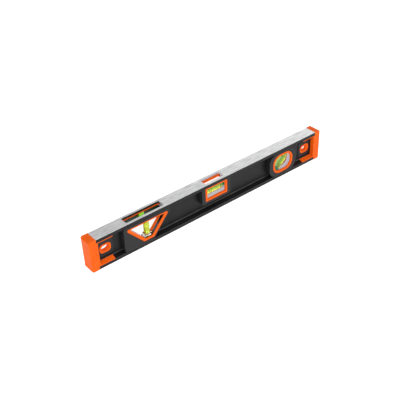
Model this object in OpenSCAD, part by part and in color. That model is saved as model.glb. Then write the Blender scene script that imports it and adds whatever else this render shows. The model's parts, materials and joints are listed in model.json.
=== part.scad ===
// Carpenter's spirit level: an I-section body with a milled top, orange end caps, two hanging
// eyes, and three vials (plumb, level and 45 degrees) set in framed windows.
// X runs along the body, Y through its thickness with the front at -Y, and Z is up.
// The origin is at the middle of the bottom face. All sizes are in millimetres.

/* [Body] */
// Length over both end caps
overall_length = 609.6; // [580:0.1:760]
// Height from the bottom face to the top face
body_height = 71.1; // [70.6:0.1:72]
// Thickness over the flanges
body_depth = 28.6; // [28.4:0.1:29.4]
// Thickness of the web
web_thickness = 5.6; // [5:0.1:6]
// Height of the lower flange's outer edge
lower_edge = 7.2; // [6.8:0.1:7.6]
// Height of the upper flange's outer edge
upper_edge = 8.2; // [7.8:0.1:8.4]
// Rise of each flange from its outer edge to the web
flange_rise = 3.4; // [3:0.1:3.6]
// Size of the small slope at the root of the web
root_slope = 1.4; // [1:0.1:1.8]
// Chamfer along the flanges' outer edges
edge_chamfer = 0.5; // [0.3:0.1:0.7]

/* [End caps] */
// How far a cap stands out past the end of the body
cap_reach = 16.3; // [14:0.1:18]
// Depth of the hollow in a cap's end face
cap_hollow = 0.9; // [0.5:0.1:3]
// Rounding of a cap's upright edges
cap_radius = 2.6; // [2:0.1:4]
// Length of the tongues that grip the flanges
tongue_length = 36; // [24:1:40]
// Thickness of the tongues
tongue_thickness = 1.4; // [1:0.1:1.8]
// Width of the upright bar between the tongues
cap_bar = 3; // [2:0.1:4]

/* [Hanging eyes] */
// Distance of an eye's centre from the end of the body
eye_inset = 22.4; // [22:0.1:27]
// Height of the eyes' centres
eye_height = 34.9; // [34:0.1:38]
// Length of the slot through an eye
eye_slot_length = 18; // [17:0.1:20]
// Width of the slot through an eye
eye_slot_width = 12.5; // [11:0.1:13.5]
// Width of the rim round the slot
eye_rim = 3.9; // [3.5:0.1:4.6]
// Size of the square cover plate round an eye
plate_size = 36; // [34:1:37]
// Thickness of the cover plates
plate_thickness = 1.2; // [0.8:0.1:1.6]

/* [Plumb window] */
// Place of the plumb window along the body
plumb_x = -172; // [-180:1:-165]
// Half the width of its frame at the top
plumb_top_half = 52; // [50:0.5:53]
// Half the width of its frame at the bottom
plumb_bottom_half = 12.2; // [11.5:0.1:13]
// Height of the frame's lower edge
plumb_low = 12.5; // [12:0.1:13]
// Height of the frame's upper edge
plumb_high = 57.7; // [57:0.1:58]
// Outer radius of the plumb vial
plumb_vial_r = 6; // [5.6:0.1:6.2]

/* [Level window] */
// Place of the level window along the body
level_x = 0.8; // [-4:0.1:4]
// Half the width of the level window's frame
level_half = 28.8; // [28:0.1:30]
// Height of the frame's lower edge
level_low = 31.8; // [31.2:0.1:32.2]
// Height of the frame's upper edge
level_high = 63; // [62.8:0.1:63.4]

/* [45 degree window] */
// Place of the 45 degree window along the body
angle_x = 190.4; // [185:0.1:194]
// Width of its frame
angle_width = 58.6; // [58:0.1:60]
// Height of its frame
angle_height = 46.2; // [45.6:0.1:47]
// Height of the frame's centre
angle_z = 35.1; // [34.8:0.1:35.4]

/* [Vials] */
// Half the thickness of the clear vial blocks
block_half_depth = 9.8; // [9:0.1:9.8]
// Radius of the level and 45 degree vials' bores
bore_r = 7.2; // [6.9:0.1:7.3]
// Radius of the plumb vial's bore
plumb_bore_r = 4.4; // [4.2:0.1:4.6]
// Travel of the level bubble each way from the middle
level_travel = 11; // [8:0.5:12]
// Travel of the 45 degree bubble down from its upper end
angle_travel = 18; // [10:0.5:18.5]
// Travel of the plumb bubble down from its upper end
plumb_travel = 17; // [10:0.5:18]

/* [Hidden] */

black = "#232425";
orange = "#f26a1b";
clear = [0.86, 0.9, 0.92, 0.4];
lime = [0.75, 0.85, 0.15, 0.6];
fine = 64; // sides of round parts
past = 1; // how far a cutter runs past a face
gap = 0.1; // play between parts that are pushed together

front = -body_depth / 2;
back = body_depth / 2;
web_half = web_thickness / 2;
beam_length = overall_length - 2 * cap_reach;
beam_end = beam_length / 2;
upper_low = body_height - upper_edge; // lower corner of the upper flange's edge
foot = lower_edge + flange_rise; // lower root of the web
neck = upper_low - flange_rise; // upper root of the web

cap_lip = 7; // height of the flared stretch at the top and bottom of a cap
cap_step = 2.8; // chamfer at the flare's outer corner
grip_depth = 9.8; // how far the tongues reach towards the web
eye_step = 1; // how far an eye's rim laps over its plate
eye_proud = 0.5; // how far the rim stands out of the plate
eye_face = web_half + plate_thickness;
eye_radius = 8; // outer corners of an eye's rim
plate_radius = 5;
bezel_depth = 4.4; // thickness of the level and 45 degree frames
lip = 1.1; // overlap of a frame on its vial block
housing_radius = 5;
liquid_play = 0.4; // liquid's radius below the bore's

// Plumb window
plumb_side = [plumb_top_half - plumb_bottom_half, plumb_high - plumb_low];
plumb_tilt = atan2(plumb_side[1], plumb_side[0]);
plumb_bar_top = 2.5;
plumb_bar_low = 5;
plumb_bar_side = 6;
plumb_hole_radius = 1.8;
plumb_frame_radius = 3.4;
plumb_bezel_depth = 2;
plumb_mirror_depth = 6; // from the back of the bezel to the vial frame
plumb_mirror_thickness = 0.8;
plumb_mirror_room = [3, 5]; // left free at a mirror's lower and upper end
plumb_frame_depth = 6.6;
plumb_frame_wall = 4;
plumb_trim_width = 3.4;
plumb_trim_thickness = 1.6;
plumb_housing_left = 56.5; // from the window's centre to the housing's upright side
plumb_housing_margin = 2; // housing past the bezel on the slanted side
plumb_cover_half = 52;
plumb_cover_low = 50;
plumb_cover_radius = 3;
plumb_vial_y = front + plumb_bezel_depth + gap + plumb_vial_r;
plumb_foot = [15.6, 8.4, 8.4]; // clear block under the vial
plumb_vial_top = 57.6;
plumb_floor = plumb_low + plumb_bar_low; // bottom of the opening
plumb_plug_length = 2.6;
plumb_base = 6; // solid stretch under the bore
plumb_bore_low = plumb_floor + plumb_base;
plumb_bubble_r = 2.6;
plumb_bubble_half = 5; // half its length
plumb_bubble_z = plumb_vial_top - plumb_plug_length - plumb_bubble_half - liquid_play;
plumb_slot = [89, 18]; // opening in the top flange
plumb_slot_x = plumb_x - 1;
slot_radius = 3;
strip_turn = 3.4; // how far a slot's edging turns round the back corners
slot_low = 52; // how far down the slots are cut
liner_wall = 1.3;
liner_low = 63.2;
liner_rim = 0.3; // liner's top below the top face
trim_wall = 1.1;
trim_depth = 4; // top edge of a slot's trim below the top face
plumb_trim_high = body_height - trim_depth;
plumb_trim_height = 2.1;
slot_mirror_low = 57.5;
slot_mirror_thickness = 0.8;
slot_mirror_room = 4; // left free at each end of the slot's mirror

// Level window
level_slot = [49.5, 17.4];
level_housing_half = 38;
level_housing_low = 26;
level_housing_high = 65.3;
level_bar = 4.6;
level_bar_top = 2.6;
level_frame_radius = 2.4;
level_hole_radius = 1.2;
block_lap = 0.5; // vial block behind the frame's upper and lower bars
level_floor = level_low + level_bar;
level_ceiling = level_high - level_bar_top;
level_bore_rise = 1.2; // bore's axis above the middle of the block
level_bore_z = (level_floor + level_ceiling) / 2 + level_bore_rise;
level_trim_high = body_height - trim_depth;
level_block = [2 * (level_half - level_bar + lip), level_ceiling - level_floor + 2 * block_lap];

// 45 degree window
angle_bar = 5;
angle_radius = 21;
angle_housing_half = 39.5;
angle_housing_radius = 20;
angle_bore_half = 18; // half the length of the bore
angle_bore_shift = 4; // from the window's centre to the bore's axis
angle_bore_rise = 2; // bore's middle past the window's centre, up the slope
angle_plug_reach = 27; // from the centre to the plug's outer end, before trimming

// Inside the vials
plug_length = 3.4;
level_wall = 3.6; // block past the closed end of the bore
level_bore_half = level_block[0] / 2 - level_wall;
ring_width = 0.8;
ring_wall = 0.3;
ring_play = 0.05;
bubble_r = 3.3;
bubble_half = 8; // half its length
bubble_lift = 2.8; // bubble's axis above the bore's
bubble_play = 0.25; // room left round a bubble
ring_at = bubble_half + 1.2; // from the middle of a vial
end_room = 0.6; // between the 45 degree bubble and the end of its bore
angle_bubble_at = angle_bore_half - bubble_half - end_room;
plumb_ring_at = 7;

function unit(v) = v / norm(v);

// Outline with each corner pushed out by a distance (convex, anticlockwise)
function grown(pts, by) = [
    for (i = [0:len(pts) - 1])
        let (p = pts[i], n = len(pts), a = unit(pts[(i + n - 1) % n] - p), b = unit(pts[(i + 1) % n] - p))
            p - unit(a + b) * by / sin(acos(a * b) / 2)
];

// Outline with each corner rounded (convex, anticlockwise)
function rounded(pts, r, steps = 7) = [
    for (i = [0:len(pts) - 1])
        let (
            p = pts[i], n = len(pts),
            a = unit(pts[(i + n - 1) % n] - p), b = unit(pts[(i + 1) % n] - p),
            half = acos(a * b) / 2,
            centre = p + unit(a + b) * r / sin(half),
            from = p + a * r / tan(half) - centre,
            start = atan2(from[1], from[0])
        )
            for (k = [0:steps])
                let (turn = start + (180 - 2 * half) * k / steps)
                    centre + r * [cos(turn), sin(turn)]
];

// Solid with its section in Y and Z, centred along X
module along_x(length)
    rotate([90, 0, 90]) linear_extrude(length, center = true) children();

// Solid with its outline in X and Z, between two depths
module through(y0, y1)
    translate([0, y1, 0]) rotate([90, 0, 0]) linear_extrude(y1 - y0) children();

module round_rect(size, radius) {
    square([size[0] - 2 * radius, size[1]], center = true);
    square([size[0], size[1] - 2 * radius], center = true);
    for (sx = [-1, 1], sy = [-1, 1])
        translate([sx * (size[0] / 2 - radius), sy * (size[1] / 2 - radius)]) circle(radius, $fn = fine);
}

// Copies a front part to the back of the body
module at_back() mirror([0, 1, 0]) children();

// Capsule along X
module capsule(half, r) {
    rotate([0, 90, 0]) cylinder(2 * (half - r), r = r, center = true, $fn = fine);
    for (side = [-1, 1]) translate([side * (half - r), 0, 0]) sphere(r, $fn = fine);
}

// Room that a capsule sweeps along X between two places
module capsule_sweep(low, high, half, r)
    translate([(low + high) / 2, 0, 0]) capsule(half + (high - low) / 2, r);

// --- Body -----------------------------------------------------------------------------

body_side = let (c = edge_chamfer) [
    [back - c, 0], [back, c], [back, lower_edge - c], [back - c, lower_edge],
    [web_half + root_slope, foot], [web_half, foot + root_slope],
    [web_half, neck - root_slope], [web_half + root_slope, neck],
    [back - c, upper_low], [back, upper_low + c], [back, body_height - c],
    [back - c, body_height]
];

module body_section()
    polygon(concat(body_side, [
        for (i = [len(body_side) - 1:-1:0]) [-body_side[i][0], body_side[i][1]]
    ]));

// The space between the flanges in front of the web
module recess_section() {
    polygon([
        [front - past, lower_edge + gap], [front + edge_chamfer, lower_edge + gap],
        [-web_half - root_slope, foot + gap], [-web_half - gap, foot + root_slope],
        [-web_half - gap, neck - root_slope], [-web_half - root_slope, neck - gap],
        [front + edge_chamfer, upper_low - gap], [front - past, upper_low - gap]
    ]);
}

module in_recess() intersection() {
    along_x(beam_length) recess_section();
    children();
}

module slot_cutter(x, size, grow = 0)
    translate([x, 0, slot_low]) linear_extrude(body_height - slot_low + past)
        round_rect([size[0] + 2 * grow, size[1] + 2 * grow], slot_radius + grow);

module eye_outline(grow = 0)
    round_rect([eye_slot_length + 2 * (eye_rim + grow), eye_slot_width + 2 * (eye_rim + grow)], eye_radius);

module at_eyes() for (side = [-1, 1]) translate([side * (beam_end - eye_inset), 0, eye_height]) children();

module beam() color(black) difference() {
    along_x(beam_length) body_section();
    at_eyes() through(front, back) eye_outline(gap - eye_step);
    translate([plumb_x, 0, 0]) through(front, back) plumb_opening(plumb_frame_wall + gap);
    slot_cutter(plumb_slot_x, plumb_slot);
    at_window() {
        through(front, back) level_block_outline(gap);
        through(front - past, -web_half) level_housing_outline(gap);
        through(web_half, back + past) level_housing_outline(gap);
    }
    slot_cutter(level_x, level_slot);
    translate([angle_x, 0, angle_z]) through(front, back) angle_block_outline(gap);
}

// --- End caps -------------------------------------------------------------------------

module cap_side_outline() polygon([
    [0, 0], [cap_reach - cap_step, 0], [cap_reach, cap_step], [cap_reach, cap_lip / 2],
    [cap_reach - cap_hollow, cap_lip + cap_hollow],
    [cap_reach - cap_hollow, body_height - cap_lip - cap_hollow],
    [cap_reach, body_height - cap_lip / 2], [cap_reach, body_height - cap_step],
    [cap_reach - cap_step, body_height], [0, body_height]
]);

// The space between the tongues
module tongue_gap_section() {
    inner = web_half + root_slope;
    polygon([
        [front - past, lower_edge + tongue_thickness], [front + edge_chamfer, lower_edge + tongue_thickness],
        [-inner, foot + tongue_thickness], [0, foot + tongue_thickness],
        [0, neck - tongue_thickness], [-inner, neck - tongue_thickness],
        [front + edge_chamfer, upper_low - tongue_thickness], [front - past, upper_low - tongue_thickness]
    ]);
}

// The tongues on the flanges and the bar that joins them, in front of the web
module cap_grip() in_recess() difference() {
    translate([beam_end - tongue_length, front, 0]) cube([tongue_length, grip_depth, body_height]);
    translate([beam_end - cap_bar - tongue_length / 2, 0, 0]) along_x(tongue_length) tongue_gap_section();
}

module right_cap_solid() {
    intersection() {
        translate([beam_end, 0, 0]) through(front, back) cap_side_outline();
        translate([beam_end + cap_reach / 2 - cap_radius, 0, 0]) linear_extrude(body_height)
            round_rect([cap_reach + 2 * cap_radius, body_depth], cap_radius);
    }
    cap_grip();
    at_back() cap_grip();
}

module right_end_cap() color(orange) right_cap_solid();
module left_end_cap() color(orange) mirror([1, 0, 0]) right_cap_solid();

// --- Hanging eyes ---------------------------------------------------------------------

module hang_bush() color(orange) difference() {
    union() {
        through(-eye_face, eye_face) eye_outline(-eye_step);
        for (y0 = [-eye_face - eye_proud, eye_face]) through(y0, y0 + eye_proud) eye_outline();
    }
    through(front, back) eye_slot();
}

// Slot with round ends
module eye_slot() {
    straight = eye_slot_length - eye_slot_width;
    square([straight, eye_slot_width], center = true);
    for (side = [-1, 1]) translate([side * straight / 2, 0]) circle(d = eye_slot_width, $fn = fine);
}

module eye_at(side) translate([side * (beam_end - eye_inset), 0, eye_height]) children();

module left_hang_bush() eye_at(-1) hang_bush();
module right_hang_bush() eye_at(1) hang_bush();

// Cover plate on the front of the web round an eye
module cover_plate(side) color(black) eye_at(side) through(-eye_face, -web_half) difference() {
    round_rect([plate_size, plate_size], plate_radius);
    eye_outline(gap - eye_step);
}

module left_front_plate() cover_plate(-1);
module left_rear_plate() at_back() cover_plate(-1);
module right_front_plate() cover_plate(1);
module right_rear_plate() at_back() cover_plate(1);

// --- Plumb window ---------------------------------------------------------------------

plumb_corners = [
    [-plumb_bottom_half, plumb_low], [plumb_bottom_half, plumb_low],
    [plumb_top_half, plumb_high], [-plumb_top_half, plumb_high]
];
function plumb_half_at(z) =
    plumb_bottom_half + (z - plumb_low) / tan(plumb_tilt) - plumb_bar_side / sin(plumb_tilt);
plumb_ceiling = plumb_high - plumb_bar_top;
plumb_hole = [
    [-plumb_half_at(plumb_floor), plumb_floor], [plumb_half_at(plumb_floor), plumb_floor],
    [plumb_half_at(plumb_ceiling), plumb_ceiling], [-plumb_half_at(plumb_ceiling), plumb_ceiling]
];

module plumb_opening(grow = 0) polygon(rounded(grown(plumb_hole, grow), plumb_hole_radius));
module plumb_frame_outline(grow = 0) polygon(rounded(grown(plumb_corners, grow), plumb_frame_radius));
module at_plumb() translate([plumb_x, 0, 0]) children();

plumb_bezel_back = front + plumb_bezel_depth;
plumb_frame_front = plumb_bezel_back + plumb_mirror_depth;
plumb_frame_back = plumb_frame_front + plumb_frame_depth;

module plumb_housing_outline() {
    right = plumb_bottom_half + plumb_housing_margin / sin(plumb_tilt);
    rise = upper_low - plumb_low;
    polygon(rounded([
        [-plumb_housing_left, lower_edge], [right - (plumb_low - lower_edge) / tan(plumb_tilt), lower_edge],
        [right + rise / tan(plumb_tilt), upper_low], [-plumb_housing_left, upper_low]
    ], housing_radius));
}

module plumb_front_housing() color(black) difference() {
    in_recess() at_plumb() through(front, -web_half - gap) plumb_housing_outline();
    at_plumb() {
        through(front - past, plumb_bezel_back) plumb_frame_outline(gap);
        through(front, plumb_frame_front) plumb_opening(plumb_mirror_thickness + gap);
        through(plumb_frame_front, 0) plumb_opening(plumb_frame_wall + gap);
    }
    plumb_vial_pocket();
    slot_cutter(plumb_slot_x, plumb_slot);
}

// Seat for the top of the vial, open towards the bezel
module plumb_vial_pocket() at_plumb_vial() translate([0, 0, plumb_floor]) {
    r = plumb_vial_r + gap;
    height = plumb_vial_top + gap - plumb_floor;
    cylinder(height, r = r, $fn = fine);
    translate([-r, -r - past, 0]) cube([2 * r, r + past, height]);
}

module plumb_front_bezel() color(orange) at_plumb() through(front, plumb_bezel_back) difference() {
    plumb_frame_outline();
    plumb_opening();
}

// Orange frame behind the mirrors, open at the top under the slot
module plumb_vial_frame() color(orange) difference() {
    at_plumb() through(plumb_frame_front + gap, plumb_frame_back) difference() {
        plumb_opening(plumb_frame_wall);
        plumb_opening();
    }
    translate([plumb_x - body_height, front, slot_low]) cube(2 * body_height);
}

// Mirror strip on a slanted side of the opening
module plumb_mirror(side) color("silver") at_plumb() mirror([side < 0 ? 1 : 0, 0, 0]) {
    low = plumb_hole[1];
    run = norm(plumb_hole[2] - low) - plumb_mirror_room[0] - plumb_mirror_room[1];
    translate([low[0], plumb_bezel_back + gap, low[1]]) rotate([0, -plumb_tilt, 0])
        translate([plumb_mirror_room[0], 0, -plumb_mirror_thickness])
            cube([run, plumb_mirror_depth - gap, plumb_mirror_thickness]);
}
module plumb_left_mirror() plumb_mirror(-1);
module plumb_right_mirror() plumb_mirror(1);

// Cover on the back of the web, above the opening
module plumb_rear_cover() color(black) difference() {
    at_back() in_recess() at_plumb() through(front, -web_half - gap)
        polygon(rounded([
            [-plumb_cover_half, plumb_cover_low], [plumb_cover_half, plumb_cover_low],
            [plumb_cover_half, body_height], [-plumb_cover_half, body_height]
        ], plumb_cover_radius));
    slot_cutter(plumb_slot_x, plumb_slot);
}

// Thin edging round the opening on the back of the web
module plumb_rear_trim() color(orange) at_back() in_recess() intersection() {
    at_plumb() through(-web_half - gap - plumb_trim_thickness, -web_half - gap) difference() {
        plumb_opening(plumb_frame_wall + plumb_trim_width);
        plumb_opening(plumb_frame_wall + gap);
    }
    translate([plumb_x - plumb_top_half, front, 0])
        cube([2 * plumb_top_half, body_depth, plumb_cover_low - gap]);
}

// Upright tube with a rounded rectangular section
module collar(x, size, radius, wall, low, high) translate([x, 0, low]) linear_extrude(high - low)
    difference() {
        round_rect(size, radius);
        round_rect([size[0] - 2 * wall, size[1] - 2 * wall], radius - wall);
    }

// The part of a collar that lies along the back of its slot
module back_strip(x, size, radius, wall, low, high) intersection() {
    collar(x, size, radius, wall, low, high);
    translate([x - size[0] / 2, size[1] / 2 - strip_turn, low]) cube([size[0], strip_turn, high - low]);
}

liner_size = [plumb_slot[0] - 2 * gap, plumb_slot[1] - 2 * gap];
trim_size = [liner_size[0] - 2 * (liner_wall + gap), liner_size[1] - 2 * (liner_wall + gap)];

module plumb_slot_liner() color(black)
    back_strip(plumb_slot_x, liner_size, slot_radius, liner_wall, liner_low, body_height - liner_rim);
module plumb_slot_trim() color(orange)
    back_strip(plumb_slot_x, trim_size, slot_radius - liner_wall, trim_wall,
        plumb_trim_high - plumb_trim_height, plumb_trim_high);

module plumb_slot_mirror() color("silver") {
    length = plumb_slot[0] - 2 * slot_mirror_room;
    y = trim_size[1] / 2 - slot_mirror_thickness;
    translate([plumb_slot_x - length / 2, y, slot_mirror_low])
        cube([length, slot_mirror_thickness, plumb_trim_high - plumb_trim_height - gap - slot_mirror_low]);
}

module at_plumb_vial() translate([plumb_x, plumb_vial_y, 0]) children();

module plumb_vial_body() color(clear) at_plumb_vial() difference() {
    union() {
        translate([0, 0, plumb_floor + gap + plumb_foot[2] / 2]) cube(plumb_foot, center = true);
        translate([0, 0, plumb_floor + plumb_foot[2] / 2])
            cylinder(plumb_vial_top - plumb_floor - plumb_foot[2] / 2, r = plumb_vial_r, $fn = fine);
    }
    translate([0, 0, plumb_bore_low]) cylinder(body_height, r = plumb_bore_r, $fn = fine);
}

// Ring, liquid, plug and bubble of a vial whose bore runs along Z from 0
module vial_ring(at, r) translate([0, 0, at - ring_width / 2]) linear_extrude(ring_width) difference() {
    circle(r - ring_play, $fn = fine);
    circle(r - ring_play - ring_wall, $fn = fine);
}

module plumb_liquid() color(lime) at_plumb_vial() {
    r = plumb_bore_r - liquid_play;
    low = plumb_bore_low + gap;
    difference() {
        translate([0, 0, low]) cylinder(plumb_vial_top - plumb_plug_length - gap - low, r = r, $fn = fine);
        rotate([0, -90, 0]) capsule_sweep(plumb_bubble_z - plumb_travel, plumb_bubble_z,
            plumb_bubble_half + bubble_play, plumb_bubble_r + bubble_play);
    }
}

module plumb_bubble() color("white") at_plumb_vial() translate([0, 0, plumb_bubble_z]) rotate([0, 90, 0])
    capsule(plumb_bubble_half, plumb_bubble_r);

module plumb_plug() color(clear) at_plumb_vial()
    translate([0, 0, plumb_vial_top - plumb_plug_length])
        cylinder(plumb_plug_length, r = plumb_bore_r - ring_play, $fn = fine);

plumb_vial_middle = (plumb_bore_low + plumb_vial_top) / 2;
module plumb_upper_ring() color("black") at_plumb_vial()
    vial_ring(plumb_vial_middle + plumb_ring_at, plumb_bore_r);
module plumb_lower_ring() color("black") at_plumb_vial()
    vial_ring(plumb_vial_middle - plumb_ring_at, plumb_bore_r);

// --- Level window ---------------------------------------------------------------------

module at_window() translate([level_x, 0, 0]) children();

module level_housing_outline(grow = 0)
    translate([0, (level_housing_low + level_housing_high) / 2])
        round_rect([2 * (level_housing_half + grow), level_housing_high - level_housing_low + 2 * grow],
            housing_radius);
module level_frame_outline(grow = 0) translate([0, (level_low + level_high) / 2])
    round_rect([2 * (level_half + grow), level_high - level_low + 2 * grow], level_frame_radius);
module level_opening() translate([0, (level_floor + level_ceiling) / 2])
    round_rect([2 * (level_half - level_bar), level_ceiling - level_floor], level_hole_radius);
module level_block_outline(grow = 0) translate([0, (level_floor + level_ceiling) / 2])
    square([level_block[0] + 2 * grow, level_block[1] + 2 * grow], center = true);

module level_front_housing() color(black) difference() {
    at_window() through(front, -web_half - gap) level_housing_outline();
    at_window() through(front - past, front + bezel_depth + gap) level_frame_outline(gap);
    at_window() through(front, 0) level_block_outline(gap);
    slot_cutter(level_x, level_slot);
}
module level_rear_housing() at_back() level_front_housing();

module level_front_bezel() color(orange) at_window() through(front, front + bezel_depth) difference() {
    level_frame_outline();
    level_opening();
}
module level_rear_bezel() at_back() level_front_bezel();

module level_slot_trim() color(orange)
    back_strip(level_x, [level_slot[0] - 2 * gap, level_slot[1] - 2 * gap], slot_radius, trim_wall,
        level_ceiling + block_lap + gap, level_trim_high);

module level_vial_body() color(clear) at_window() difference() {
    through(-block_half_depth, block_half_depth) level_block_outline();
    translate([-level_bore_half, 0, level_bore_z]) rotate([0, 90, 0])
        cylinder(level_block[0], r = bore_r, $fn = fine);
}

// Places a vial's inner part, made along Z, on the level vial's axis
module at_level() translate([level_x, 0, level_bore_z]) rotate([0, 90, 0]) children();
level_plug_at = level_block[0] / 2 - plug_length;

module level_liquid() color(lime) at_window() difference() {
    translate([0, 0, level_bore_z]) rotate([0, 90, 0]) translate([0, 0, gap - level_bore_half])
        cylinder(level_plug_at + level_bore_half - 2 * gap, r = bore_r - liquid_play, $fn = fine);
    translate([0, 0, level_bore_z + bubble_lift])
        capsule_sweep(-level_travel, level_travel, bubble_half + bubble_play, bubble_r + bubble_play);
}
module level_bubble() color("white") translate([level_x, 0, level_bore_z + bubble_lift])
    capsule(bubble_half, bubble_r);
module level_plug() color("teal") at_level() translate([0, 0, level_plug_at])
    cylinder(plug_length, r = bore_r - ring_play, $fn = fine);
module level_left_ring() color("black") at_level() vial_ring(-ring_at, bore_r);
module level_right_ring() color("black") at_level() vial_ring(ring_at, bore_r);

// --- 45 degree window -----------------------------------------------------------------

module at_angle() translate([angle_x, 0, angle_z]) children();
// Turns the X axis to the vial's slope, rising to the right
module on_slope() at_angle() rotate([0, -45, 0]) translate([angle_bore_rise, 0, -angle_bore_shift]) children();

angle_size = [angle_width, angle_height];
module angle_opening(grow = 0)
    round_rect(angle_size - [2, 2] * (angle_bar - grow), angle_radius - angle_bar + grow);
module angle_block_outline(grow = 0) angle_opening(lip + grow);

module angle_front_housing() color(black) difference() {
    in_recess() at_angle() through(front, -web_half - gap)
        round_rect([2 * angle_housing_half, upper_low - lower_edge], angle_housing_radius);
    at_angle() {
        through(front - past, front + bezel_depth + gap)
            round_rect(angle_size + [2, 2] * gap, angle_radius + gap);
        through(front, 0) angle_block_outline(gap);
    }
}
module angle_rear_housing() at_back() angle_front_housing();

module angle_front_bezel() color(orange) at_angle() through(front, front + bezel_depth) difference() {
    round_rect(angle_size, angle_radius);
    angle_opening();
}
module angle_rear_bezel() at_back() angle_front_bezel();

module angle_block() at_angle() through(-block_half_depth, block_half_depth) angle_block_outline();

module angle_vial_body() color(clear) difference() {
    angle_block();
    on_slope() translate([angle_bore_half, 0, 0]) rotate([0, -90, 0])
        cylinder(2 * angle_plug_reach, r = bore_r, $fn = fine);
}
module angle_liquid() color(lime) on_slope() difference() {
    translate([gap - angle_bore_half, 0, 0]) rotate([0, 90, 0])
        cylinder(2 * (angle_bore_half - gap), r = bore_r - liquid_play, $fn = fine);
    capsule_sweep(angle_bubble_at - angle_travel, angle_bubble_at,
        bubble_half + bubble_play, bubble_r + bubble_play);
}
module angle_bubble() color("white") on_slope() translate([angle_bubble_at, 0, 0])
    capsule(bubble_half, bubble_r);
// The plug is trimmed flush with the clear block
module angle_plug() color("teal") intersection() {
    angle_block();
    on_slope() translate([-angle_bore_half, 0, 0]) rotate([0, -90, 0])
        cylinder(angle_plug_reach, r = bore_r - ring_play, $fn = fine);
}
module angle_lower_ring() color("black") on_slope() rotate([0, 90, 0]) vial_ring(-ring_at, bore_r);
module angle_upper_ring() color("black") on_slope() rotate([0, 90, 0]) vial_ring(ring_at, bore_r);

// --- Assembly -------------------------------------------------------------------------

beam();
left_end_cap();
right_end_cap();
left_hang_bush();
right_hang_bush();
left_front_plate();
left_rear_plate();
right_front_plate();
right_rear_plate();
plumb_front_housing();
plumb_front_bezel();
plumb_vial_frame();
plumb_left_mirror();
plumb_right_mirror();
plumb_rear_cover();
plumb_rear_trim();
plumb_slot_liner();
plumb_slot_trim();
plumb_slot_mirror();
plumb_vial_body();
plumb_liquid();
plumb_bubble();
plumb_plug();
plumb_upper_ring();
plumb_lower_ring();
level_front_housing();
level_rear_housing();
level_front_bezel();
level_rear_bezel();
level_slot_trim();
level_vial_body();
level_liquid();
level_bubble();
level_plug();
level_left_ring();
level_right_ring();
angle_front_housing();
angle_rear_housing();
angle_front_bezel();
angle_rear_bezel();
angle_vial_body();
angle_liquid();
angle_bubble();
angle_plug();
angle_lower_ring();
angle_upper_ring();
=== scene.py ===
import json
import math
import bmesh
import bpy
from mathutils import Matrix, Vector


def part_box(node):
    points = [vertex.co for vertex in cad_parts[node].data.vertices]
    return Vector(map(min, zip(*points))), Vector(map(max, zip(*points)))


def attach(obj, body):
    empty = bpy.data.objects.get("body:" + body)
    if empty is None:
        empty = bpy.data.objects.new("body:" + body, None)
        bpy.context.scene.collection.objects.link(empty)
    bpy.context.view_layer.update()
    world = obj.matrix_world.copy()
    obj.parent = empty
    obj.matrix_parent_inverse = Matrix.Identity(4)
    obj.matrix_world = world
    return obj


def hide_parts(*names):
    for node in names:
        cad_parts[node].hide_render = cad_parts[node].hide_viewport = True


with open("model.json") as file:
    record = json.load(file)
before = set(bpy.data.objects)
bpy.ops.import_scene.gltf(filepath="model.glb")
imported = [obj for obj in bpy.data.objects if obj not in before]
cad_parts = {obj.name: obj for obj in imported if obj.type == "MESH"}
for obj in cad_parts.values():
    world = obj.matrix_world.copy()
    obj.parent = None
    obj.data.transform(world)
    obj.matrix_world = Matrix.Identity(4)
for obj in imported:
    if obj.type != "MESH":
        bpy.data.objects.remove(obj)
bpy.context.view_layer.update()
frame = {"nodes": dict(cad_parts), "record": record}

mm = 0.001
print("frame loaded:", len(frame["nodes"]), "nodes")


def newMaterial(name):
    mat = bpy.data.materials.new(name)
    mat.use_nodes = True
    return mat, mat.node_tree.nodes, mat.node_tree.links, mat.node_tree.nodes["Principled BSDF"]


def noiseField(nodes, links, scale, detail=4.0, stretch=(1, 1, 1)):
    # noise in the row frame's metres, so that the grain keeps its real size
    coord = nodes.new("ShaderNodeTexCoord")
    mapping = nodes.new("ShaderNodeMapping")
    mapping.inputs["Scale"].default_value = stretch
    noise = nodes.new("ShaderNodeTexNoise")
    noise.inputs["Scale"].default_value = scale
    noise.inputs["Detail"].default_value = detail
    links.new(coord.outputs["Object"], mapping.inputs["Vector"])
    links.new(mapping.outputs["Vector"], noise.inputs["Vector"])
    return noise.outputs["Fac"]


noiseSpan = (0.3, 0.7)                 # a noise field hardly leaves this range


def spread(nodes, links, field, low, high):
    # turns a noise field into a number that varies from low to high
    ranged = nodes.new("ShaderNodeMapRange")
    ranged.inputs["From Min"].default_value = noiseSpan[0]
    ranged.inputs["From Max"].default_value = noiseSpan[1]
    ranged.inputs["To Min"].default_value = low
    ranged.inputs["To Max"].default_value = high
    links.new(field, ranged.inputs["Value"])
    return ranged.outputs["Result"]


def tint(nodes, links, field, dark, light):
    # turns a field into a colour between two others
    ramp = nodes.new("ShaderNodeValToRGB")
    ramp.color_ramp.elements[0].position = noiseSpan[0]
    ramp.color_ramp.elements[0].color = (*dark, 1)
    ramp.color_ramp.elements[1].position = noiseSpan[1]
    ramp.color_ramp.elements[1].color = (*light, 1)
    links.new(field, ramp.inputs["Fac"])
    return ramp.outputs["Color"]


def bump(nodes, links, field, height):
    node = nodes.new("ShaderNodeBump")
    node.inputs["Distance"].default_value = height
    node.inputs["Strength"].default_value = 1.0
    links.new(field, node.inputs["Height"])
    return node.outputs["Normal"]


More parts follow.
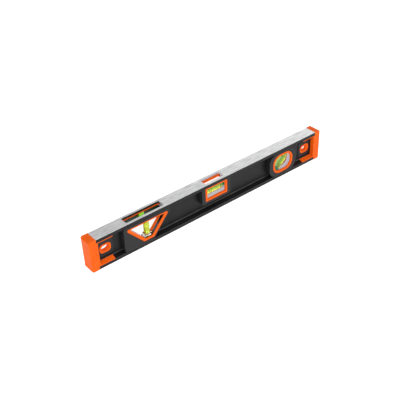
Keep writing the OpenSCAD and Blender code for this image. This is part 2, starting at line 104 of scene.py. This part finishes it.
def acrossField(nodes, links, direction, start, end):
    # rises from 0 to 1 between two distances along a direction, in the row frame
    coord = nodes.new("ShaderNodeTexCoord")
    along = nodes.new("ShaderNodeVectorMath")
    along.operation = "DOT_PRODUCT"
    along.inputs[1].default_value = direction
    ranged = nodes.new("ShaderNodeMapRange")
    ranged.interpolation_type = "SMOOTHSTEP"
    ranged.inputs["From Min"].default_value = start
    ranged.inputs["From Max"].default_value = end
    links.new(coord.outputs["Object"], along.inputs[0])
    links.new(along.outputs["Value"], ranged.inputs["Value"])
    return ranged.outputs["Result"]


paintLook = {
    "dark": (0.0028, 0.0028, 0.0033),
    "light": (0.0058, 0.0058, 0.0065),
    "roughness": (0.36, 0.48),
    "specular": 0.24,
    "cloudScale": 60,
    "grainScale": 1500,                # powder coat grain, under a millimetre
    "grainHeight": 0.02 * mm,
}
# painted highlight: a lighter, glossier copy of the paint on the web's narrow root faces stands in for
# the light line along the root
rootHighlightLook = {
    "dark": (0.020, 0.020, 0.021),
    "light": (0.045, 0.045, 0.046),
    "roughness": (0.30, 0.40),
    "specular": 0.5,
    "cloudScale": 60,
    "grainScale": 1500,
    "grainHeight": 0.01 * mm,
}


def makePaint(name, look):
    mat, nodes, links, shader = newMaterial(name)
    cloud = noiseField(nodes, links, look["cloudScale"], 5)
    grain = noiseField(nodes, links, look["grainScale"], 3)
    links.new(tint(nodes, links, cloud, look["dark"], look["light"]), shader.inputs["Base Color"])
    links.new(spread(nodes, links, grain, *look["roughness"]), shader.inputs["Roughness"])
    shader.inputs["Specular IOR Level"].default_value = look["specular"]
    links.new(bump(nodes, links, grain, look["grainHeight"]), shader.inputs["Normal"])
    return mat


milledLook = {
    "dark": (0.56, 0.565, 0.575),
    "light": (0.90, 0.90, 0.90),
    "roughness": (0.30, 0.44),
    "lineStretch": (9, 1500, 1500),    # fine cutter lines run along the body
    "lineHeight": 0.012 * mm,
    "streakStretch": (45, 380, 380),   # broader streaks, about 3 mm apart and 20 mm long
}
cutLook = {
    "dark": (0.50, 0.52, 0.56),
    "light": (0.66, 0.68, 0.71),
    "roughness": (0.50, 0.65),
    "metallic": 0.55,
    "chatterScale": 420,
    "chatterHeight": 0.03 * mm,
}


def makeMilled(look):
    mat, nodes, links, shader = newMaterial("milledMetal")
    lines = noiseField(nodes, links, 1.0, 4, look["lineStretch"])
    streaks = noiseField(nodes, links, 1.0, 3, look["streakStretch"])
    links.new(tint(nodes, links, streaks, look["dark"], look["light"]), shader.inputs["Base Color"])
    links.new(spread(nodes, links, lines, *look["roughness"]), shader.inputs["Roughness"])
    shader.inputs["Metallic"].default_value = 1.0
    links.new(bump(nodes, links, lines, look["lineHeight"]), shader.inputs["Normal"])
    return mat


def makeCut(look):
    # the slots' walls, left rough by the cutter
    mat, nodes, links, shader = newMaterial("cutMetal")
    chatter = noiseField(nodes, links, look["chatterScale"], 3)
    links.new(tint(nodes, links, chatter, look["dark"], look["light"]), shader.inputs["Base Color"])
    links.new(spread(nodes, links, chatter, *look["roughness"]), shader.inputs["Roughness"])
    shader.inputs["Metallic"].default_value = look["metallic"]
    links.new(bump(nodes, links, chatter, look["chatterHeight"]), shader.inputs["Normal"])
    return mat


orangeLook = {
    "dark": (0.72, 0.094, 0.0035),
    "light": (0.80, 0.114, 0.0050),
    "roughness": (0.42, 0.54),
    "specular": 0.08,
    "pebbleScale": 900,
    "pebbleHeight": 0.018 * mm,
}
blackPlasticLook = {
    "dark": (0.0075, 0.0080, 0.0090),
    "light": (0.0125, 0.0130, 0.0145),
    "roughness": (0.48, 0.62),
    "specular": 0.32,
    "pebbleScale": 1100,
    "pebbleHeight": 0.03 * mm,
}
tealLook = {
    "dark": (0.01, 0.36, 0.22),
    "light": (0.015, 0.46, 0.28),
    "roughness": (0.25, 0.36),
    "specular": 0.5,
    "pebbleScale": 700,
    "pebbleHeight": 0.01 * mm,
}
gaugeLook = {
    "dark": (0.006, 0.006, 0.007),
    "light": (0.012, 0.012, 0.013),
    "roughness": (0.4, 0.5),
    "specular": 0.4,
    "pebbleScale": 900,
    "pebbleHeight": 0.005 * mm,
}


flowScale = 45                         # flow marks in the plastic, about 20 mm apart


def makeMoulded(name, look):
    # moulded plastic: soft flow marks, a fine pebbled skin and a little uneven gloss
    mat, nodes, links, shader = newMaterial(name)
    flow = noiseField(nodes, links, flowScale, 4)
    pebble = noiseField(nodes, links, look["pebbleScale"], 2)
    links.new(tint(nodes, links, flow, look["dark"], look["light"]), shader.inputs["Base Color"])
    links.new(spread(nodes, links, flow, *look["roughness"]), shader.inputs["Roughness"])
    shader.inputs["Specular IOR Level"].default_value = look["specular"]
    links.new(bump(nodes, links, pebble, look["pebbleHeight"]), shader.inputs["Normal"])
    return mat


polishScale = 120                      # polishing marks, about 8 mm apart


def makeClear(name, look, paintedLightBand=None):
    # see-through material with faint polishing marks; the optional band says where painted shade and
    # painted light change its colour
    mat, nodes, links, shader = newMaterial(name)
    marks = noiseField(nodes, links, polishScale, 3)
    shader.inputs["Transmission Weight"].default_value = look.get("clearness", 1.0)
    shader.inputs["IOR"].default_value = look["ior"]
    links.new(spread(nodes, links, marks, *look["roughness"]), shader.inputs["Roughness"])
    if paintedLightBand is None:
        shader.inputs["Base Color"].default_value = (*look["color"], 1)
        shader.inputs["Emission Color"].default_value = (*look["color"], 1)
    else:
        # painted shade and light: the colour turns across the part between the two given colours
        color = tint(nodes, links, acrossField(nodes, links, *paintedLightBand), look["upper"], look["lower"])
        links.new(color, shader.inputs["Base Color"])
        links.new(color, shader.inputs["Emission Color"])
    # painted glow: the part emits its own colour though it is no lamp
    shader.inputs["Emission Strength"].default_value = look.get("glow", 0.0)
    links.new(bump(nodes, links, marks, look["waves"]), shader.inputs["Normal"])
    return mat


clearLook = {
    "color": (0.86, 0.90, 0.87),
    "upper": (0.32, 0.48, 0.07),       # painted light: green standing in for light coloured by the dye above
    # painted light: lilac-grey standing in for light passing through the block below the vial
    "lower": (0.80, 0.78, 0.86),
    "ior": 1.49,
    "roughness": (0.01, 0.05),
    "waves": 0.004 * mm,
}
# the level block's top: frosted white, and its glow is painted light
frostedPaintedGlowLook = {
    "color": (0.97, 0.97, 0.97),
    "ior": 1.49,
    "clearness": 0.2,
    "roughness": (0.30, 0.42),
    "waves": 0.01 * mm,
    "glow": 0.35,                      # painted glow, standing in for light carried up through the block
}
# painted light: the block's rim faces get an opaque lilac-grey that glows, standing in for light passing
# through the block
paintedLightRimLook = {
    "color": (0.50, 0.48, 0.60),
    "ior": 1.49,
    "clearness": 0.0,
    "roughness": (0.35, 0.5),
    "waves": 0.01 * mm,
    "glow": 0.58,
}
wetLook = {"color": (1, 1, 1), "ior": 1.0, "roughness": (0.0, 0.02), "waves": 0.001 * mm}
liquidLook = {
    "color": (0.56, 0.62, 0.035),
    # painted shade and highlight: a shaded green above and a bright yellow below, standing in for the
    # light line focused through the vial
    "upper": (0.20, 0.40, 0.012),
    "lower": (0.84, 0.82, 0.050),
    "ior": 1.02,
    "roughness": (0.0, 0.03),
    "waves": 0.001 * mm,
    "glow": 0.20,                      # painted glow; where the colour turns yellow it also brightens the painted highlight
}
bubbleLook = {
    "color": (0.86, 0.92, 0.50),
    "ior": 1.22,
    "roughness": (0.0, 0.02),
    "waves": 0.001 * mm,
    # painted glow: a faint emission makes the bubble lighter than the liquid
    "glow": 0.05,
}
mirrorLook = {"color": (0.15, 0.16, 0.18), "roughness": (0.10, 0.20), "haze": 200}
# painted reflection: an opaque glowing green that stands in for the vial's dye seen in the slot's strip
paintedVialReflectionLook = {
    "color": (0.20, 0.50, 0.015),
    "ior": 1.45,
    "clearness": 0.0,
    "roughness": (0.2, 0.3),
    "waves": 0.002 * mm,
    "glow": 0.45,
}
# painted reflection: a dark green on the slot's strip stands in for the shaded vial seen in it
paintedDimReflectionLook = {
    "dark": (0.003, 0.020, 0.009),
    "light": (0.006, 0.034, 0.014),
    "roughness": (0.22, 0.34),
    "specular": 0.3,
    "pebbleScale": 500,
    "pebbleHeight": 0.004 * mm,
}


def makeMirror(name, look):
    mat, nodes, links, shader = newMaterial(name)
    haze = noiseField(nodes, links, look["haze"], 3)
    shader.inputs["Base Color"].default_value = (*look["color"], 1)
    shader.inputs["Metallic"].default_value = 1.0
    links.new(spread(nodes, links, haze, *look["roughness"]), shader.inputs["Roughness"])
    return mat


finishes = {
    "body_paint": makePaint("blackPaint", paintLook),
    "orange_plastic": makeMoulded("orangePlastic", orangeLook),
    "black_plastic": makeMoulded("blackPlastic", blackPlasticLook),
    "vial_plug": makeMoulded("tealPlug", tealLook),
    "gauge_line": makeMoulded("gaugeBlack", gaugeLook),
    "clear_acrylic": makeClear("clearAcrylic", clearLook),
    "vial_liquid": makeClear("vialLiquid", liquidLook),
    "air": makeClear("airBubble", bubbleLook),
    "mirror_strip": makeMirror("mirrorStrip", mirrorLook),
}
milledMetal = makeMilled(milledLook)
cutMetal = makeCut(cutLook)
rubbedPaint = makePaint("rubbedPaint", rootHighlightLook)
wetBore = makeClear("wettedBore", wetLook)
frostedTop = makeClear("frostedTop", frostedPaintedGlowLook)
blockRim = makeClear("blockRim", paintedLightRimLook)
dyeShine = makeClear("dyeShine", paintedVialReflectionLook)
mirrorBacking = makeMoulded("mirrorBacking", paintedDimReflectionLook)
print("finishes made:", len(bpy.data.materials))


slotOf = {part["node"]: part["material_slot"] for part in frame["record"]["subparts"]}
bodyOf = {node: body for body, nodes in frame["record"]["behaviour"]["bodies"].items() for node in nodes}


def smoothShade(obj, angle=32):
    obj.data.shade_smooth()
    obj.data.set_sharp_from_angle(angle=math.radians(angle))
    evenNormals = obj.modifiers.new("evenNormals", "WEIGHTED_NORMAL")
    evenNormals.keep_sharp = True


def place(name, bm, node):
    # makes the piece that stands for a CAD node, in the same finish and on the same body
    mesh = bpy.data.meshes.new(name)
    bm.normal_update()
    bm.to_mesh(mesh)
    bm.free()
    obj = bpy.data.objects.new(name, mesh)
    bpy.context.scene.collection.objects.link(obj)
    mesh.materials.append(finishes[slotOf[node]])
    smoothShade(obj)
    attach(obj, bodyOf[node])
    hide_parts(node)
    return obj


def partName(node):
    words = node.split("_")
    return words[0] + "".join(word.capitalize() for word in words[1:])


meshCleaning = {
    "mergeDistance": 0.002 * mm,
    "flatAngle": 0.6,                  # degrees; faces closer than this become one
}


def rounded(node, width, cuts=(), segments=3, angle=28):
    # the CAD shape with its hard edges rounded the way a mould or a cutter leaves them,
    # and its faces divided at the given places along the body
    bm = bmesh.new()
    bm.from_mesh(frame["nodes"][node].data)
    bmesh.ops.remove_doubles(bm, verts=bm.verts, dist=meshCleaning["mergeDistance"])
    flat = math.radians(meshCleaning["flatAngle"])
    bmesh.ops.dissolve_limit(bm, angle_limit=flat, verts=bm.verts, edges=bm.edges)
    hard = [e for e in bm.edges if len(e.link_faces) == 2 and e.calc_face_angle() > math.radians(angle)]
    bmesh.ops.bevel(
        bm, geom=hard, offset=width, segments=segments, profile=0.5, affect="EDGES",
        clamp_overlap=True, miter_outer="ARC",
    )
    for x in cuts:
        every = bm.verts[:] + bm.edges[:] + bm.faces[:]
        bmesh.ops.bisect_plane(bm, geom=every, plane_co=(x, 0, 0), plane_no=(1, 0, 0))
    return place(partName(node), bm, node)


edgeRounding = {
    "end_cap": 0.6 * mm,
    "hang_bush": 0.35 * mm,
    "plate": 0.3 * mm,
    "housing": 0.35 * mm,
    "bezel": 0.5 * mm,
    "vial_frame": 0.4 * mm,
    "mirror": 0.12 * mm,
    "cover": 0.35 * mm,
    "trim": 0.25 * mm,
    "liner": 0.25 * mm,
    "vial_body": 0.25 * mm,
}
mirrorPatch = {
    "half": 6.0 * mm,                  # the painted reflection of the vial on the slot's strip, beside the vial
}
vialX = (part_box("plumb_vial_body")[0].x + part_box("plumb_vial_body")[1].x) / 2
patchEnds = (vialX - mirrorPatch["half"], vialX + mirrorPatch["half"])
roundedPieces = {}
for node in frame["nodes"]:
    for ending, width in edgeRounding.items():
        if node.endswith(ending):
            cuts = patchEnds if node == "plumb_slot_mirror" else ()
            roundedPieces[node] = rounded(node, width, cuts)
print("rounded pieces:", len(roundedPieces))

# painted reflection: the slot's strip gets a glowing green patch beside the vial, standing in for the
# vial's dye seen in it, and a painted dark green reflection elsewhere
strip = roundedPieces["plumb_slot_mirror"].data
strip.materials.clear()
strip.materials.append(mirrorBacking)
strip.materials.append(dyeShine)
for face in strip.polygons:
    face.material_index = 1 if patchEnds[0] < face.center.x < patchEnds[1] else 0


def lathe(profile, origin, along, steps=48):
    # turns a profile of (radius, distance along the axis) points round an axis
    turn = along.to_track_quat("Z", "Y").to_matrix().to_4x4()
    bm = bmesh.new()
    rings = []
    for radius, at in profile:
        if radius < 1e-7:
            rings.append([bm.verts.new((0, 0, at))])
        else:
            rings.append([
                bm.verts.new((radius * math.cos(2 * math.pi * k / steps),
                              radius * math.sin(2 * math.pi * k / steps), at))
                for k in range(steps)
            ])
    closed = len(rings[0]) > 1 and len(rings[-1]) > 1
    pairs = list(zip(rings, rings[1:])) + ([(rings[-1], rings[0])] if closed else [])
    for low, high in pairs:
        for k in range(steps):
            j = (k + 1) % steps
            corners = [low[k % len(low)], low[j % len(low)], high[j % len(high)], high[k % len(high)]]
            bm.faces.new(list(dict.fromkeys(corners)))
    bmesh.ops.recalc_face_normals(bm, faces=bm.faces)
    bm.transform(Matrix.Translation(origin) @ turn)
    return bm


def arc(centreR, centreAt, radius, start, end, steps=5):
    # profile points round a small fillet
    angles = [math.radians(start + (end - start) * k / steps) for k in range(steps + 1)]
    return [(centreR + radius * math.cos(a), centreAt + radius * math.sin(a)) for a in angles]


vialAxes = {
    "level": Vector((1, 0, 0)),
    "plumb": Vector((0, 0, 1)),
    "angle": Vector((1, 0, 1)).normalized(),
}


def alongAxis(node, axis, radius):
    # middle and half length of a round part that lies along a level, upright or 45 degree axis
    low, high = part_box(node)
    half = (high - low) / 2
    slanted = abs(axis.x * axis.z) > 0.1
    if slanted:
        return (low + high) / 2, half.x * math.sqrt(2) - radius
    return (low + high) / 2, abs(half.dot(axis))


vialLook = {
    "plugGap": 0.05 * mm,              # between a plug or a ring and the bore's wall
    "plugRounding": 0.2 * mm,
    "fillet": 0.4 * mm,
    "boreClearance": 0.03 * mm,
    "ringWidth": 0.8 * mm,
    "ringWall": 0.3 * mm,
    "ringChamfer": 0.08 * mm,
    "ringSteps": 64,
    "wetEnds": 0.6 * mm,               # faces this near the bore count as its wetted wall
    "wetAround": 0.2 * mm,
    "frostedDepth": 1.0 * mm,
    "shadeTop": 0.1,                   # painted shade and highlight: the dye turns from shaded green to painted yellow between these, in bore radii from the axis
    "shadeLow": 0.6,                   # in bore radii from the axis
    # the block's painted light turns from the green above to the lilac-grey below between these, across
    # the axis
    "blockShade": (-5.0 * mm, -1.5 * mm),
}
# the way down across each vial; the upright one has none
downOf = {"level": Vector((0, 0, -1)), "plumb": None, "angle": Vector((1, 0, -1)).normalized()}


def bubbleProfile(half, radius, steps=18, square=2.35):
    # a long drop: rounder than an ellipse, blunter than a ball
    points = []
    for k in range(steps + 1):
        a = -math.pi / 2 + math.pi * k / steps
        c, s = math.cos(a), math.sin(a)
        points.append((radius * abs(c) ** (2 / square), half * math.copysign(abs(s) ** (2 / square), s)))
    points[0] = (0, -half)
    points[-1] = (0, half)
    return points


def makeVial(vial):
    axis = vialAxes[vial]
    plugLow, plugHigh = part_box(vial + "_plug")
    liquidLow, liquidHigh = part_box(vial + "_liquid")
    liquidR = (liquidHigh.y - liquidLow.y) / 2
    centre, half = alongAxis(vial + "_liquid", axis, liquidR)
    boreR = (plugHigh.y - plugLow.y) / 2 + vialLook["plugGap"]
    fillet = vialLook["fillet"]
    inner = boreR - vialLook["boreClearance"] - fillet
    lower = arc(inner, -half + fillet, fillet, -90, 0)
    upper = arc(inner, half - fillet, fillet, 0, 90)
    profile = [(0, -half)] + lower + upper + [(0, half)]
    liquid = place(vial + "Liquid", lathe(profile, centre, axis), vial + "_liquid")
    below = downOf[vial]
    if below:
        middle = centre.dot(below)
        paintedLightBand = (below, middle - boreR * vialLook["shadeTop"], middle + boreR * vialLook["shadeLow"])
        liquid.data.materials[0] = makeClear(vial + "Dye", liquidLook, paintedLightBand)

    bubbleLow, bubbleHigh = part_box(vial + "_bubble")
    bubbleR = (bubbleHigh.y - bubbleLow.y) / 2
    bubbleCentre, bubbleHalf = alongAxis(vial + "_bubble", axis, bubbleR)
    if vial == "angle":
        bubbleHalf = (bubbleHigh.x - bubbleLow.x - 2 * bubbleR) / 2 * math.sqrt(2) + bubbleR
    drop = lathe(bubbleProfile(bubbleHalf, bubbleR), bubbleCentre, axis)
    place(vial + "Bubble", drop, vial + "_bubble")

    for node in frame["nodes"]:
        if node.startswith(vial) and node.endswith("_ring"):
            low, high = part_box(node)
            outer, w, t = boreR - vialLook["plugGap"], vialLook["ringWidth"] / 2, vialLook["ringWall"]
            b = vialLook["ringChamfer"]
            band = [(outer - t, -w + b), (outer - t + b, -w), (outer - b, -w), (outer, -w + b),
                    (outer, w - b), (outer - b, w), (outer - t + b, w), (outer - t, w - b)]
            place(partName(node), lathe(band, (low + high) / 2, axis, vialLook["ringSteps"]), node)
    rounded(vial + "_plug", vialLook["plugRounding"])

    # the bore is wet, so its wall hardly shows
    body = roundedPieces[vial + "_vial_body"]
    body.data.materials.append(wetBore)
    body.data.materials.append(frostedTop)
    body.data.materials.append(blockRim)
    # painted light across the level and angle blocks: green above, lilac-grey below
    if below:
        paintedLightBand = (below, *(middle + end for end in vialLook["blockShade"]))
        body.data.materials[0] = makeClear(vial + "Block", clearLook, paintedLightBand)
    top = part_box(vial + "_vial_body")[1].z
    for face in body.data.polygons:
        offset = face.center - centre
        along = offset.dot(axis)
        away = (offset - axis * along).length
        if abs(along) < half + vialLook["wetEnds"] and away < boreR + vialLook["wetAround"]:
            face.material_index = 1
        # the level block's top gets the frosted white with the painted glow
        elif vial == "level" and face.normal.z > 0.7 and face.center.z > top - vialLook["frostedDepth"]:
            face.material_index = 2
        # the rim faces of the level and angle blocks get the painted light
        elif below and abs(face.normal.y) < 0.3:
            face.material_index = 3


for vial in vialAxes:
    makeVial(vial)
print("vials filled:", len(vialAxes))

# the body keeps its CAD shape; its top, bottom and slots are milled bare after painting
beam = frame["nodes"]["beam"]
beam.data.materials.clear()
beam.data.materials.append(finishes["body_paint"])
beam.data.materials.append(milledMetal)
beam.data.materials.append(cutMetal)
beam.data.materials.append(rubbedPaint)
beamLow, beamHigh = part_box("beam")
slotBoxes = [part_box("level_slot_trim"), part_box("plumb_slot_liner")]
bareLook = {
    "slotPlay": 0.5 * mm,
    "slotDepth": 20 * mm,
    "band": 0.6 * mm,                  # bare metal at the edges of the top and bottom
    "rootHeight": 20 * mm,             # below this the web's narrow root faces get the painted highlight
}


def inSlot(point):
    # the edging lies at the back of a slot, so its far side gives the slot's width
    play = bareLook["slotPlay"]
    return point.z > beamHigh.z - bareLook["slotDepth"] and any(
        low.x - play < point.x < high.x + play and abs(point.y) < high.y + play
        for low, high in slotBoxes
    )


for face in beam.data.polygons:
    flat = abs(face.normal.z) > 0.5
    nearTop = face.center.z > beamHigh.z - bareLook["band"]
    nearBottom = face.center.z < beamLow.z + bareLook["band"]
    if flat and (nearTop or nearBottom):
        face.material_index = 1
    elif inSlot(face.center) and not flat:
        face.material_index = 2
    # painted highlight along the web's root
    elif 0.5 < face.normal.z < 0.85 and face.center.z < bareLook["rootHeight"]:
        face.material_index = 3
    else:
        face.material_index = 0
print("body finished")


stageLook = {
    "floorSize": 24.0,
    "floorDrop": 0.2 * mm,             # keeps the floor clear of the underside
    "floorColor": (0.74, 0.74, 0.74),
    "floorRoughness": 0.9,
    "floorSpecular": 0.1,
    "floorGlow": 0.60,                 # lifts the shadows on the floor
    "frontSky": 0.85,
    "backSky": (0.50, 1.25),           # from the left to the right behind the level
    "backTurn": (0.28, 0.74),
    "frontTurn": (-0.2, 0.3),
    "horizon": 1.15,                   # the tent's foot, as white as the floor
    "horizonTurn": (0.30, 0.16),
}


def makeFloor(look):
    half = look["floorSize"] / 2
    mesh = bpy.data.meshes.new("floor")
    corners = [(-half, -half, 0), (half, -half, 0), (half, half, 0), (-half, half, 0)]
    mesh.from_pydata(corners, [], [(0, 1, 2, 3)])
    floor = bpy.data.objects.new("floor", mesh)
    bpy.context.scene.collection.objects.link(floor)
    floor.location.z = -look["floorDrop"]
    mat, nodes, links, shader = newMaterial("paleFloor")
    shader.inputs["Base Color"].default_value = (*look["floorColor"], 1)
    shader.inputs["Roughness"].default_value = look["floorRoughness"]
    shader.inputs["Specular IOR Level"].default_value = look["floorSpecular"]
    shader.inputs["Emission Color"].default_value = (1, 1, 1, 1)
    shader.inputs["Emission Strength"].default_value = look["floorGlow"]
    mesh.materials.append(mat)


def mathNode(nodes, links, operation, *values):
    # each value is a number or an output to join
    node = nodes.new("ShaderNodeMath")
    node.operation = operation
    for socket, value in zip(node.inputs, values):
        if isinstance(value, (int, float)):
            socket.default_value = value
        else:
            links.new(value, socket)
    return node.outputs["Value"]


def rangeOf(nodes, links, value, start, end, low=0.0, high=1.0):
    ranged = nodes.new("ShaderNodeMapRange")
    for name, number in (("From Min", start), ("From Max", end), ("To Min", low), ("To Max", high)):
        ranged.inputs[name].default_value = number
    links.new(value, ranged.inputs["Value"])
    return ranged.outputs["Result"]


def makeSky(look):
    # a white tent: dim in front, brighter behind and to the right
    world = bpy.data.worlds.new("studio")
    bpy.context.scene.world = world
    world.use_nodes = True
    nodes, links = world.node_tree.nodes, world.node_tree.links
    background = nodes["Background"]
    background.inputs["Color"].default_value = (1, 1, 1, 1)
    coord = nodes.new("ShaderNodeTexCoord")
    split = nodes.new("ShaderNodeSeparateXYZ")
    links.new(coord.outputs["Generated"], split.inputs["Vector"])
    behind = rangeOf(nodes, links, split.outputs["Y"], *look["frontTurn"])
    back = rangeOf(nodes, links, split.outputs["X"], *look["backTurn"], *look["backSky"])
    step = mathNode(nodes, links, "SUBTRACT", back, look["frontSky"])
    upper = mathNode(nodes, links, "MULTIPLY_ADD", behind, step, look["frontSky"])
    foot = rangeOf(nodes, links, split.outputs["Z"], *look["horizonTurn"], 0.0, look["horizon"])
    links.new(mathNode(nodes, links, "MAXIMUM", upper, foot), background.inputs["Strength"])


lamps = {
    # name: (place, aimed at, width and height, watts)
    "key": ((-1.1, -1.3, 1.5), (0, 0, 0.03), (0.9, 0.9), 21),
}


def makeLamps():
    for name, (location, target, size, power) in lamps.items():
        light = bpy.data.lights.new(name, "AREA")
        light.shape = "RECTANGLE"
        light.size, light.size_y = size
        light.energy = power
        lamp = bpy.data.objects.new(name, light)
        bpy.context.scene.collection.objects.link(lamp)
        lamp.location = location
        lamp.rotation_mode = "QUATERNION"
        lamp.rotation_quaternion = (Vector(target) - Vector(location)).to_track_quat("-Z", "Y")


cameraView = {
    "target": (-0.032312, 0.0, 0.031735),
    "distance": 1.483467,
    "azimuth": -37.69,
    "elevation": 35.39,
    "roll": -2.49,
    "lens": 65.115,
    "sensor": 36,
}


def makeCamera(look):
    # looks at the target from a distance; azimuth 0 is straight in front
    az, el, roll = (math.radians(look[k]) for k in ("azimuth", "elevation", "roll"))
    back = Vector((math.sin(az) * math.cos(el), -math.cos(az) * math.cos(el), math.sin(el)))
    right = Vector((math.cos(az), math.sin(az), 0))
    up = back.cross(right)
    side = math.cos(roll) * right + math.sin(roll) * up
    top = -math.sin(roll) * right + math.cos(roll) * up
    data = bpy.data.cameras.new("camera")
    data.lens = look["lens"]
    data.sensor_width = look["sensor"]
    camera = bpy.data.objects.new("camera", data)
    bpy.context.scene.collection.objects.link(camera)
    turn = Matrix((side, top, back)).transposed().to_4x4()
    camera.matrix_world = Matrix.Translation(Vector(look["target"]) + back * look["distance"]) @ turn
    bpy.context.scene.camera = camera


makeFloor(stageLook)
makeSky(stageLook)
makeLamps()
makeCamera(cameraView)
bpy.context.scene.view_settings.view_transform = "Standard"
print("stage set")
